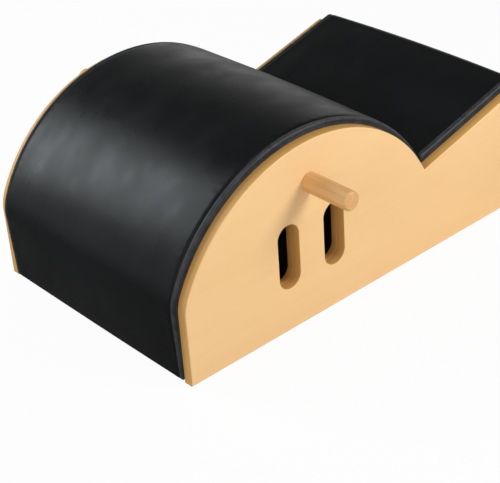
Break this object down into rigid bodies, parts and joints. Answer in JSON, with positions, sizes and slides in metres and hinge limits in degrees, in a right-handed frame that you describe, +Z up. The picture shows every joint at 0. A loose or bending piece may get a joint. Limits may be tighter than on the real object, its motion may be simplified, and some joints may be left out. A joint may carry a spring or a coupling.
{
  "type": "pilates spine corrector",
  "caption": "Pilates spine corrector: padded half-barrel and padded ramp between birch plywood sides with hand slots and round wooden hand dowels.",
  "frame": {"origin": "on the floor, under the middle of the whole object's box; the part stands on four rubber feet", "axes": "+X from the barrel end to the high end of the ramp, +Y to the left of that, +Z up"},
  "size_m": [0.7806, 0.664, 0.3334],
  "materials": {
    "panel_birch": "clear satin lacquer on pale birch plywood",
    "dowel_wood": "sanded and oiled turned hardwood",
    "frame_wood": "bare sanded plywood and softwood",
    "cover_vinyl": "satin black vinyl with a fine leather grain",
    "pad_foam": "open cell foam",
    "steel": "zinc plated",
    "foot_rubber": "matt moulded rubber"
  },
  "bodies": {
    "root": {"back_board": "frame_wood", "back_cleat_left": "frame_wood", "back_cleat_right": "frame_wood", "barrel_cleat_left": "frame_wood", "barrel_cleat_right": "frame_wood", "barrel_cover": "cover_vinyl", "barrel_deck": "frame_wood", "barrel_foam": "pad_foam", "barrel_rib": "frame_wood", "deck_screw_left_1": "steel", "deck_screw_left_2": "steel", "deck_screw_right_1": "steel", "deck_screw_right_2": "steel", "dowel_bolt_left": "steel", "dowel_bolt_right": "steel", "dowel_washer_left": "steel", "dowel_washer_right": "steel", "foot_front_left": "foot_rubber", "foot_front_right": "foot_rubber", "foot_rear_left": "foot_rubber", "foot_rear_right": "foot_rubber", "foot_screw_front_left": "steel", "foot_screw_front_right": "steel", "foot_screw_rear_left": "steel", "foot_screw_rear_right": "steel", "front_board": "frame_wood", "front_cleat_left": "frame_wood", "front_cleat_right": "frame_wood", "front_rail": "frame_wood", "front_rail_pin_left_1": "frame_wood", "front_rail_pin_left_2": "frame_wood", "front_rail_pin_right_1": "frame_wood", "front_rail_pin_right_2": "frame_wood", "grip_board_left": "panel_birch", "grip_board_right": "panel_birch", "hand_dowel_left": "dowel_wood", "hand_dowel_right": "dowel_wood", "ramp_board": "frame_wood", "ramp_cleat_left": "frame_wood", "ramp_cleat_right": "frame_wood", "ramp_cover": "cover_vinyl", "ramp_foam": "pad_foam", "ramp_rib": "frame_wood", "ramp_screw_left_1": "steel", "ramp_screw_left_2": "steel", "ramp_screw_right_1": "steel", "ramp_screw_right_2": "steel", "rear_rail": "frame_wood", "rear_rail_pin_left_1": "frame_wood", "rear_rail_pin_left_2": "frame_wood", "rear_rail_pin_right_1": "frame_wood", "rear_rail_pin_right_2": "frame_wood", "side_panel_left": "panel_birch", "side_panel_right": "panel_birch", "valley_rail": "frame_wood", "valley_rail_pin_left_1": "frame_wood", "valley_rail_pin_left_2": "frame_wood", "valley_rail_pin_right_1": "frame_wood", "valley_rail_pin_right_2": "frame_wood"}
  },
  "joints": []
}
